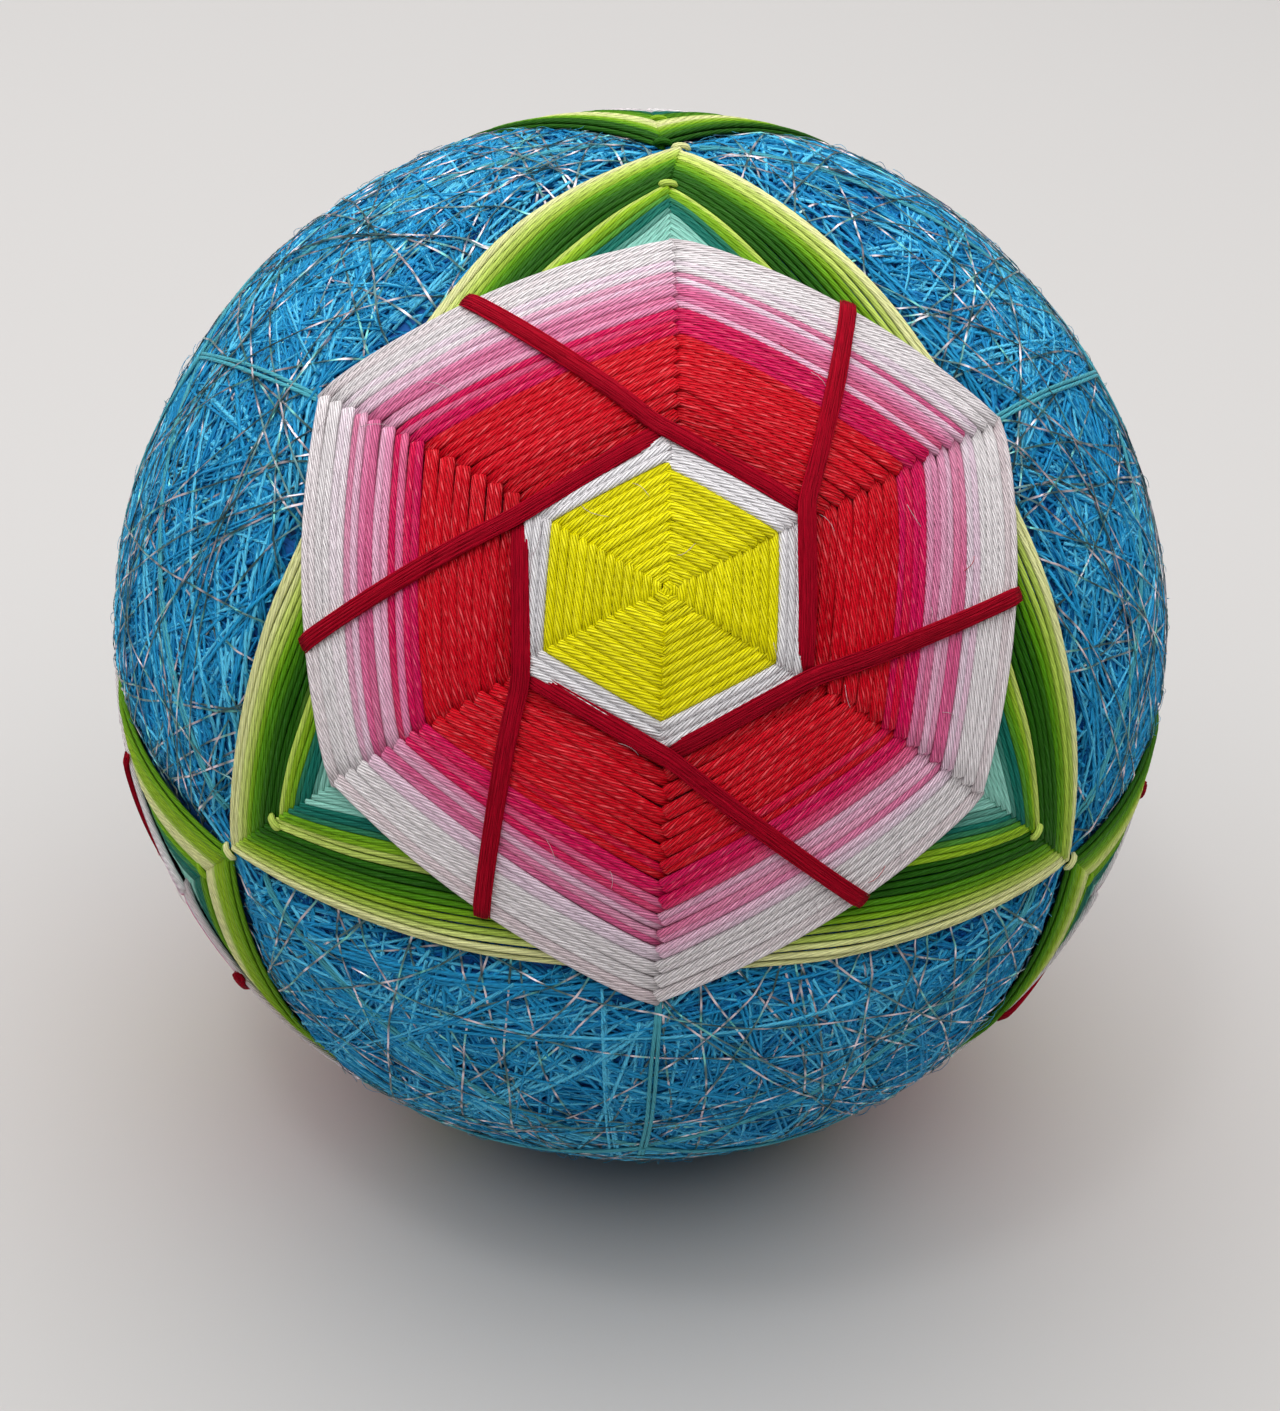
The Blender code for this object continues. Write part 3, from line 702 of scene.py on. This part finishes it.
# %% Lay the dividing threads
def lay_dividing(field, seed):
    draw = np.random.default_rng(seed)
    skein = Skein()
    for azimuth in range(0, 360, 60):
        to_tip = azimuth % 120 == 0
        share = np.linspace(0, 1, 30)
        depth = -0.00002 if to_tip else -0.00022
        for side in (-1, 1):
            centre_line = field.direction(share * (51.0 if to_tip else 31.0), np.full(30, float(azimuth)))
            apart = 0.0040 + 0.0014 * np.sin(share * draw.uniform(4, 9) + draw.uniform(0, 6))
            line = unit(centre_line + field.tangent(azimuth + 90.0) * (side * apart)[:, None])
            path = CENTRE + line * (ground_level(line) - depth)[:, None]
            skein.lay(path, 0.00036, 0.00026, TONES["turquoise"] * draw.uniform(0.9, 1.1), sides=6)
    return skein


for seed, (label, field) in enumerate(FIELDS.items()):
    name = f"dividing_threads_{label}"
    place_piece(name, lay_dividing(field, 91 + seed).mesh(name), DIVIDING, [f"lines_{label}"])

# %% [markdown]
# ## Stitched rows
# A row goes along one side, over the dividing line at the corner, and takes a small bite of the ball
# there. So the end of one side lies over the start of the next, and the rows fit together like the
# teeth of a comb. A row's path starts low, runs a little past its far corner, and ends there rounded.


# %% The path of one row along one side
def row_path(start, end, level, steps, dip=0.00045, overrun=0.00045):
    """Points from corner to corner, past both by the overrun. level gives the height at directions."""
    angle = math.acos(np.clip(np.dot(start, end), -1, 1))
    extra = overrun / BALL_RADIUS / angle
    middle = np.linspace(0, 1, steps + 1)[1:-1]
    share = np.concatenate([[-extra * 0.8, -extra * 0.1], middle, [1 + extra * 0.4, 1 + extra]])
    directions = walk(start, end, share)
    sink = np.zeros(len(share))
    sink[:3] = dip * 1.5, dip * 0.7, dip * 0.12
    sink[-3:] = -dip * 0.1, -dip * 0.1, dip * 0.45
    return CENTRE + directions * (level(directions) - sink)[:, None], directions


def sideways(path):
    """Unit vectors along the surface, square to a path."""
    return unit(np.cross(np.gradient(path, axis=0), path - CENTRE))


print("a row's two ends differ: the start dips, the end lies on top")

# %% [markdown]
# ## The petals
# Fifteen passes of a doubled silky cotton make each flower, red inside and white outside. Each pass
# is a finger of two strands, which lie evenly along a side and draw together at the corners. A bed
# under them stands for the threads of the rows below, in their tones painted darker as painted shade
# in the gaps.

# %% Lay the petals
PETAL_FINGERS = 14
PETAL_RUN = (
    (0.00, "pinkish_beige"), (0.06, "beige_white"), (0.18, "beige_white"), (0.23, "lilac_white"),
    (0.27, "pale_pink"), (0.31, "rose"), (0.35, "pink"), (0.39, "pale_pink"), (0.43, "pink"),
    (0.48, "hot_pink"), (0.55, "hot_pink"), (0.60, "red"), (0.90, "red"), (1.00, "deep_red"),
)


def lay_petals(motif, seed):
    draw = np.random.default_rng(seed)
    skein = Skein()
    for side in range(6):
        drift = draw.uniform(-0.025, 0.025)
        here, there = side, (side + 1) % 6
        for finger in range(PETAL_FINGERS + 1):
            place = (finger + 0.5) / PETAL_FINGERS
            start = motif.direction(motif.petal_row(place - 0.25 / PETAL_FINGERS)[here], here * 60.0)
            end = motif.direction(motif.petal_row(place + 0.25 / PETAL_FINGERS)[there], there * 60.0)
            path, directions = row_path(start, end, lambda way: motif.petal_top(way) - 0.00030, 18)
            share = np.linspace(0, 1, len(path))
            apart = 0.00023 + 0.00010 * np.sin(share * math.pi)
            finger_lift = draw.uniform(-0.00004, 0.00004)
            for strand in (-1, 1):
                wobble = 0.00003 * np.sin(share * draw.uniform(5, 12) + draw.uniform(0, 6))
                line = path + sideways(path) * (strand * apart + wobble)[:, None]
                line = line + directions * (finger_lift + draw.uniform(-0.00004, 0.00004))
                spot = place + drift - strand * 0.012 + draw.uniform(-0.022, 0.022) + (share - 0.5) * 0.03
                tone = shade(PETAL_RUN, np.clip(spot, 0, 1)) * draw.uniform(0.93, 1.04)
                # Painted shade: the first two points, where the strand starts below the row before, are darker.
                tone[:2] *= 0.7
                skein.lay(line, 0.00074, 0.00052, tone, sides=8, along=draw.uniform(0, 0.02), taper=0.5)
    grid, tones = [], []
    turns = np.arange(72) / 12
    for share, height in ((0.03, -0.0005), (0.03, -0.0004), (0.30, -0.0004), (1.02, -0.0004), (1.02, -0.0007), (0.5, -0.0007)):
        corners = motif.petal_row(share)
        column = np.array([walk(motif.direction(corners[int(turn)], int(turn) * 60.0),
                                motif.direction(corners[(int(turn) + 1) % 6], (int(turn) + 1) % 6 * 60.0),
                                turn - int(turn))[0] for turn in turns])
        grid.append(CENTRE + column * (motif.petal_top(column) + height)[:, None])
        # Painted shade: the bed has the tones of the rows at less than half their light.
        tones.append(np.broadcast_to(shade(PETAL_RUN, np.array(min(share, 1))) * 0.45, (72, 3)))
    skein.bed(np.stack(grid, axis=1), np.stack(tones, axis=1))
    return skein


for seed, (label, motif) in enumerate(MOTIFS.items()):
    name = f"petal_threads_{label}"
    place_piece(name, lay_petals(motif, 31 + seed).mesh(name), SHADED, [f"petals_{label}"])

# %% [markdown]
# ## The leaf frames
# Green rows go round the three tips in two stages, with a furrow between. Only what the petals leave
# open is laid. At a tip two sides meet at a right angle, and their rows lie over each other in turn.
# Each frame was worked from another part of the shaded thread, so its run of greens is its own.

# %% Lay the leaf frames
LEAF_RUNS = {
    "front": ((0.00, "straw"), (0.07, "straw"), (0.10, "pale_green"), (0.14, "yellow_green"),
              (0.20, "mid_green"), (0.25, "dark_green"), (0.35, "dark_green"), (0.365, "pale_green"),
              (0.40, "yellow_green"), (0.45, "mid_green"), (0.49, "teal"), (0.55, "teal"), (0.59, "aqua"),
              (1.00, "aqua")),
    "back": ((0.00, "dark_green"), (0.08, "dark_green"), (0.12, "mid_green"), (0.18, "yellow_green"),
             (0.24, "straw"), (0.29, "straw"), (0.35, "yellow_green"), (0.42, "mid_green"),
             (0.48, "dark_green"), (0.54, "teal"), (0.68, "teal"), (0.76, "aqua"), (1.00, "aqua")),
    "left": ((0.00, "mid_green"), (0.08, "yellow_green"), (0.17, "yellow_green"), (0.22, "straw"),
             (0.29, "straw"), (0.35, "yellow_green"), (0.42, "mid_green"), (0.46, "teal"), (0.58, "teal"),
             (0.64, "aqua"), (1.00, "aqua")),
    "right": ((0.00, "dark_green"), (0.07, "mid_green"), (0.16, "yellow_green"), (0.22, "pale_green"),
              (0.28, "straw"), (0.34, "yellow_green"), (0.41, "mid_green"), (0.46, "teal"), (0.58, "teal"),
              (0.66, "aqua"), (1.00, "teal")),
}
LEAF_ROWS, STAGE_STARTS = 31, (0.0, 0.365)
LEAF_SHARES, LEAF_HEIGHTS = (0.0, 0.05, 0.30, 0.36, 0.42, 1.0), (0.62, 1.0, 0.96, 0.72, 0.92, 0.55)


def lay_leaf(motif, run, seed):
    draw = np.random.default_rng(seed)
    skein = Skein()
    for side in range(3):
        drift = draw.uniform(-0.015, 0.015)
        for row in range(LEAF_ROWS):
            place = (row + 0.5) / LEAF_ROWS
            start = motif.leaf_tip(side, place - 0.2 / LEAF_ROWS)
            end = motif.leaf_tip(side + 1, place + 0.2 / LEAF_ROWS)
            height = np.interp(place, LEAF_SHARES, LEAF_HEIGHTS)
            lift = draw.uniform(-0.00004, 0.00004) - 0.00022
            path, directions = row_path(
                start, end, lambda way: SEAT_RADIUS + motif.leaf_thickness(way) * height + lift, 50,
                dip=0.00022, overrun=0.00035)
            shown = motif.beside_petals(directions) > -3.0
            share = np.linspace(0, 1, len(path))
            bulge = np.radians(motif.bulge(side, share)) * (1 - 0.6 * place)
            away = unit(directions - motif.axis * (directions @ motif.axis)[:, None])
            away = unit(away - directions * np.sum(away * directions, axis=1)[:, None])
            path = path + away * (bulge * BALL_RADIUS)[:, None]
            spot = place + drift + draw.uniform(-0.016, 0.016) + (share - 0.5) * 0.03
            tone = shade(run, np.clip(spot, 0, 1)) * draw.uniform(0.88, 1.08)
            wobble = 0.00003 * np.sin(share * draw.uniform(8, 20) + draw.uniform(0, 6))
            path = path + sideways(path) * wobble[:, None]
            for first, last in open_runs(shown):
                skein.lay(path[first:last], 0.00062, 0.00046, tone[first:last], sides=5,
                          along=draw.uniform(0, 0.02), taper=0.6)
        # A short stitch holds the tip of each stage.
        for place in STAGE_STARTS:
            across = motif.tangent(np.array(side * 120.0 + 90)) * np.linspace(-0.016, 0.016, 7)[:, None]
            stitch = unit(motif.leaf_tip(side, place) + across)
            height = SEAT_RADIUS + motif.leaf_thickness(stitch) - np.array([46, 18, 9, 8, 9, 18, 46]) * 0.00001
            skein.lay(CENTRE + stitch * height[:, None], 0.00072, 0.00054, shade(run, place + 0.01), sides=6, taper=0.6)
    return skein


for seed, (label, motif) in enumerate(MOTIFS.items()):
    name = f"leaf_threads_{label}"
    rows = lay_leaf(motif, LEAF_RUNS[label], 41 + seed)
    place_piece(name, rows.mesh(name), LEAFY, [f"leaf_{label}"])

# %% [markdown]
# ## The middle of a flower
# Yellow thread winds out from the middle in twelve rows, and three white rows close it. A row is a
# little further out at the end of each side than at its start, so the whole is one spiral. Rows on a
# real ball are never quite even, so each corner has its own small slip.

# %% Lay the middle rows
CORNER_AZIMUTHS = np.array([0.0, 60.0, 121.0, 180.0, 242.0, 299.0])
CORNER_REACH = np.array([0.985, 1.01, 1.03, 1.01, 1.04, 1.01])


def lay_hexagon_rows(motif, corners, tone, seed, width):
    """Rows of one thread on a hexagon. corners are the corner radii of the rows, inside first."""
    draw = np.random.default_rng(seed)
    skein = Skein()
    step = corners[1] - corners[0]
    for corner in corners:
        slip = draw.uniform(-1.0, 1.0, 6) * 6 / (corner + 4)
        for side in range(6):
            here, there = side, (side + 1) % 6
            start_radius = (corner + step * (side / 6 + 0.2)) * CORNER_REACH[here]
            end_radius = (corner + step * ((side + 1) / 6 - 0.2)) * CORNER_REACH[there]
            start = motif.middle_direction(start_radius, CORNER_AZIMUTHS[here] + slip[here])
            end = motif.middle_direction(end_radius, CORNER_AZIMUTHS[there] + slip[there])
            lift = SEAT_RADIUS + CENTRE_THICKNESS - 0.00032 + draw.uniform(-0.00008, 0.00008)
            path, directions = row_path(start, end, lambda way: np.full(len(way), lift), 7, dip=0.00028,
                                        overrun=min(0.00030, corner * DEGREE * 0.25))
            skein.lay(path, width, 0.00060, tone * draw.uniform(0.86, 1.05), sides=8,
                      along=draw.uniform(0, 0.02), taper=0.6)
    if corners[0] < 1:
        knot = walk(motif.middle_direction(0.8, 40.0), motif.middle_direction(0.8, 220.0), np.linspace(0, 1, 5))
        skein.lay(CENTRE + knot * (SEAT_RADIUS + CENTRE_THICKNESS - 0.00036), width, 0.00060, tone, sides=8, taper=0.6)
    azimuths = np.arange(36) * 10.0
    grid = []
    for share, height in ((0.0, -0.00045), (1.0, -0.00045), (1.0, -0.0008), (0.0, -0.0008)):
        corner = (corners[0] - step * 0.6) + (corners[-1] - corners[0] + step) * share
        radius = motif.polygon_radius(np.full(6, max(corner, 0.05)), azimuths)
        grid.append(CENTRE + motif.middle_direction(radius, azimuths) * (SEAT_RADIUS + CENTRE_THICKNESS + height))
    # Painted shade: the bed under the rows is the thread's tone at about a third of its light, for the shade in the
    # gaps between rows.
    skein.bed(np.stack(grid, axis=1), tone * 0.35)
    return skein


MIDDLE_CORNERS, WHITE_CORNERS = np.linspace(0.40, 10.75, 12), np.array([11.75, 12.65, 13.55])
for seed, (label, motif) in enumerate(MOTIFS.items()):
    name = f"yellow_rows_{label}"
    rows = lay_hexagon_rows(motif, MIDDLE_CORNERS, TONES["yellow"], 51 + seed, 0.00078)
    place_piece(name, rows.mesh(name), SILKY, [f"middle_{label}"])
    name = f"white_rows_{label}"
    rows = lay_hexagon_rows(motif, WHITE_CORNERS, TONES["white"], 61 + seed, 0.00076)
    place_piece(name, rows.mesh(name), SILKY, [f"ring_{label}"])

# %% [markdown]
# ## The crimson pinwheel
# A soft crimson yarn is brought up at the edge of the petals, laid over them to a corner of the
# middle, along that side, and down at the next corner. Six such strands make the pinwheel, each
# covering the end of the one before. The yarn is hardly twisted and lies flat, so a strand is a flat
# band with fine plies over it.

# %% Lay the crimson strands
# azimuth lead at the outer end and at the middle, then the azimuth of the far end from the corner
STRANDS = ((34.6, 2.5, 59), (29.2, 3.0, 61), (32.0, -1.0, 60), (34.0, 2.0, 60), (30.5, 1.0, 57), (38.0, 4.0, 60))
STRAND_PLIES = 10


def lay_crimson(motif, seed):
    draw = np.random.default_rng(seed)
    skein = Skein()
    for number, (outer_lead, lead, end_azimuth) in enumerate(STRANDS):
        corner = number * 60.0
        start_azimuth = (corner - outer_lead) % 360
        outer = motif.polygon_radius(motif.petal_row(0), np.array([start_azimuth]))[0] + 0.35
        first = motif.middle_direction(15.1, corner - lead)
        arm = walk(motif.direction(outer, start_azimuth), first, np.linspace(0, 1, 20))
        side = walk(first, motif.middle_direction(14.9, corner + end_azimuth), np.linspace(0, 1, 14))[1:]
        line = np.concatenate([arm, side])
        line[1:-1] = unit(line[:-2] + line[1:-1] * 2 + line[2:])
        radius, azimuth = motif.measure(line)
        over_petals = smooth((radius - motif.polygon_radius(motif.petal_row(1), azimuth)) / 2.0 + 0.6)
        height = motif.petal_top(line) * over_petals + (SEAT_RADIUS + 0.00098) * (1 - over_petals) + 0.00020
        height += 0.00022 * np.exp(-(((np.arange(len(line)) - 20) / 2.2) ** 2))
        height[:2] -= 0.00034, 0.00004
        height[-3:] -= 0.00010, 0.00022, 0.00055
        middle = CENTRE + line * height[:, None]
        across = sideways(middle)
        # The flat band under the plies is painted darker than them, painted shade between the plies.
        skein.lay(middle, 0.00146, 0.00046, TONES["crimson"] * 0.8, sides=10, taper=0.8)
        share = np.linspace(0, 1, len(line))
        for ply in range(STRAND_PLIES):
            spot = (ply + 0.5) / STRAND_PLIES * 2 - 1
            spot = np.clip(spot + 0.10 * np.sin(share * draw.uniform(5, 14) + draw.uniform(0, 6)), -1, 1)
            offset = across * (spot * 0.00069)[:, None] + line * (0.00022 * np.sqrt(1 - spot**2 * 0.9))[:, None]
            skein.lay(middle + offset, 0.00020, 0.00015, TONES["crimson"] * draw.uniform(0.8, 1.2), sides=4,
                      along=draw.uniform(0, 0.02), taper=0.5)
    return skein


for seed, (label, motif) in enumerate(MOTIFS.items()):
    name = f"crimson_strands_{label}"
    place_piece(name, lay_crimson(motif, 71 + seed).mesh(name), YARN, [f"pinwheel_{label}"])

# %% [markdown]
# ## Stray fibres
# Thread is never quite clean: fine fibres stand off it and catch the light at the outline. The blue
# winding is fuzzy all over, and the silky stitching has only a few hairs.


# %% Scatter stray fibres
def scatter_fibres(count, seed, tones, allowed, level, reach_range, stand):
    draw = np.random.default_rng(seed)
    skein = Skein()
    starts = unit(draw.normal(size=(count * 6, 3)))
    starts = starts[allowed(starts) & (starts[:, 2] > -0.9)][:count]
    for start in starts:
        heading = unit(np.cross(start, random_direction(draw)))
        share = np.linspace(0, 1, 5)
        reach, bend = draw.uniform(*reach_range), draw.uniform(-0.03, 0.03)
        line = unit(start + heading * (share * reach)[:, None] + np.cross(start, heading) * (bend * share**2)[:, None])
        height = level(line) + draw.uniform(0.2, 1.0) * stand * np.sin(share * math.pi * draw.uniform(0.5, 1.0))
        tone = TONES[tones[int(draw.integers(len(tones)))]]
        skein.lay(CENTRE + line * height[:, None], 0.00005, 0.00005, tone, sides=3)
    return skein


def on_petals(directions):
    return np.any([motif.beside_petals(directions) < -1.0 for motif in MOTIFS.values()], axis=0)


# Half of the blue fibres take the pale blue of a painted highlight.
blue_fuzz = scatter_fibres(2200, 81, ("blue", "bright_blue", "bright_blue", "turquoise"), open_ground, ground_level,
                           (0.02, 0.07), 0.00060)
place_piece("blue_fibres", blue_fuzz.mesh("blue_fibres"), FINE)
pale_fuzz = scatter_fibres(90, 82, ("silver", "pinkish_beige", "red"), on_petals,
                           lambda way: np.full(len(way), SEAT_RADIUS + PETAL_TOP), (0.02, 0.05), 0.00025)
place_piece("loose_hairs", pale_fuzz.mesh("loose_hairs"), FINE)

# %% [markdown]
# ## The stage
# The ball stands on a plain pale table in soft daylight from above. The camera looks down at it from
# the front, from five ball radii away, with a lens that is slightly long.

# %% The table
bpy.ops.mesh.primitive_plane_add(size=6, location=(0, 0, -0.00005))
table = bpy.context.object
table.name = "table"
table_material, table_tree, table_shader = new_material("pale_table")
table_shader.inputs["Base Color"].default_value = (0.565, 0.552, 0.544, 1)
table_shader.inputs["Roughness"].default_value = 0.8
table_shader.inputs["Specular IOR Level"].default_value = 0.1
table.data.materials.append(table_material)
print("table", tuple(table.dimensions))

# %% The light
world = bpy.data.worlds.new("soft_room")
bpy.context.scene.world = world
world.use_nodes = True
world.node_tree.nodes["Background"].inputs["Color"].default_value = (0.95, 0.97, 1.0, 1)
world.node_tree.nodes["Background"].inputs["Strength"].default_value = 0.15


def area_light(name, place, target, size, power, tone=(1, 1, 1)):
    bpy.ops.object.light_add(type="AREA", location=place)
    light = bpy.context.object
    light.name = name
    light.data.shape = "DISK"
    light.data.size = size
    light.data.energy = power
    light.data.color = tone
    light.rotation_mode = "QUATERNION"
    light.rotation_quaternion = (Vector(target) - Vector(place)).to_track_quat("-Z", "Y")
    return light


area_light("ceiling", (-0.04, 0.05, 0.60), (0, 0, 0.03), 1.6, 11.2, (1.0, 0.99, 0.98))
area_light("window", (-0.25, -0.30, 1.00), (0, 0, 0.05), 0.15, 0.8, (0.97, 0.985, 1.0))

# %% The camera
CAMERA_BACK = Vector((-0.0522553, -0.84243502, 0.53625797))
CAMERA_RIGHT = Vector((0.99853211, -0.03641599, 0.04009356))
CAMERA_UP = Vector((-0.01424786, 0.53756591, 0.84310135))
RAY_RIGHT, RAY_DOWN, RAY_FORWARD = -0.00014, -0.0265, 0.99965
DISTANCE = 5.0 * (BALL_RADIUS + 0.0002)

bpy.ops.object.camera_add()
camera = bpy.context.object
camera.name = "camera"
toward_ball = CAMERA_RIGHT * RAY_RIGHT - CAMERA_UP * RAY_DOWN - CAMERA_BACK * RAY_FORWARD
turn = Matrix((CAMERA_RIGHT, CAMERA_UP, CAMERA_BACK)).transposed()
camera.rotation_mode = "QUATERNION"
camera.rotation_quaternion = turn.to_quaternion()
camera.location = Vector(CENTRE) - toward_ball * DISTANCE
camera.data.sensor_width = 36
camera.data.sensor_fit = "AUTO"
camera.data.lens = 36 * 2579 / 1411
camera.data.clip_start = 0.01
bpy.context.scene.camera = camera
bpy.context.scene.view_settings.view_transform = "Standard"
print("camera at", [round(x, 4) for x in camera.location], "lens", round(camera.data.lens, 1))
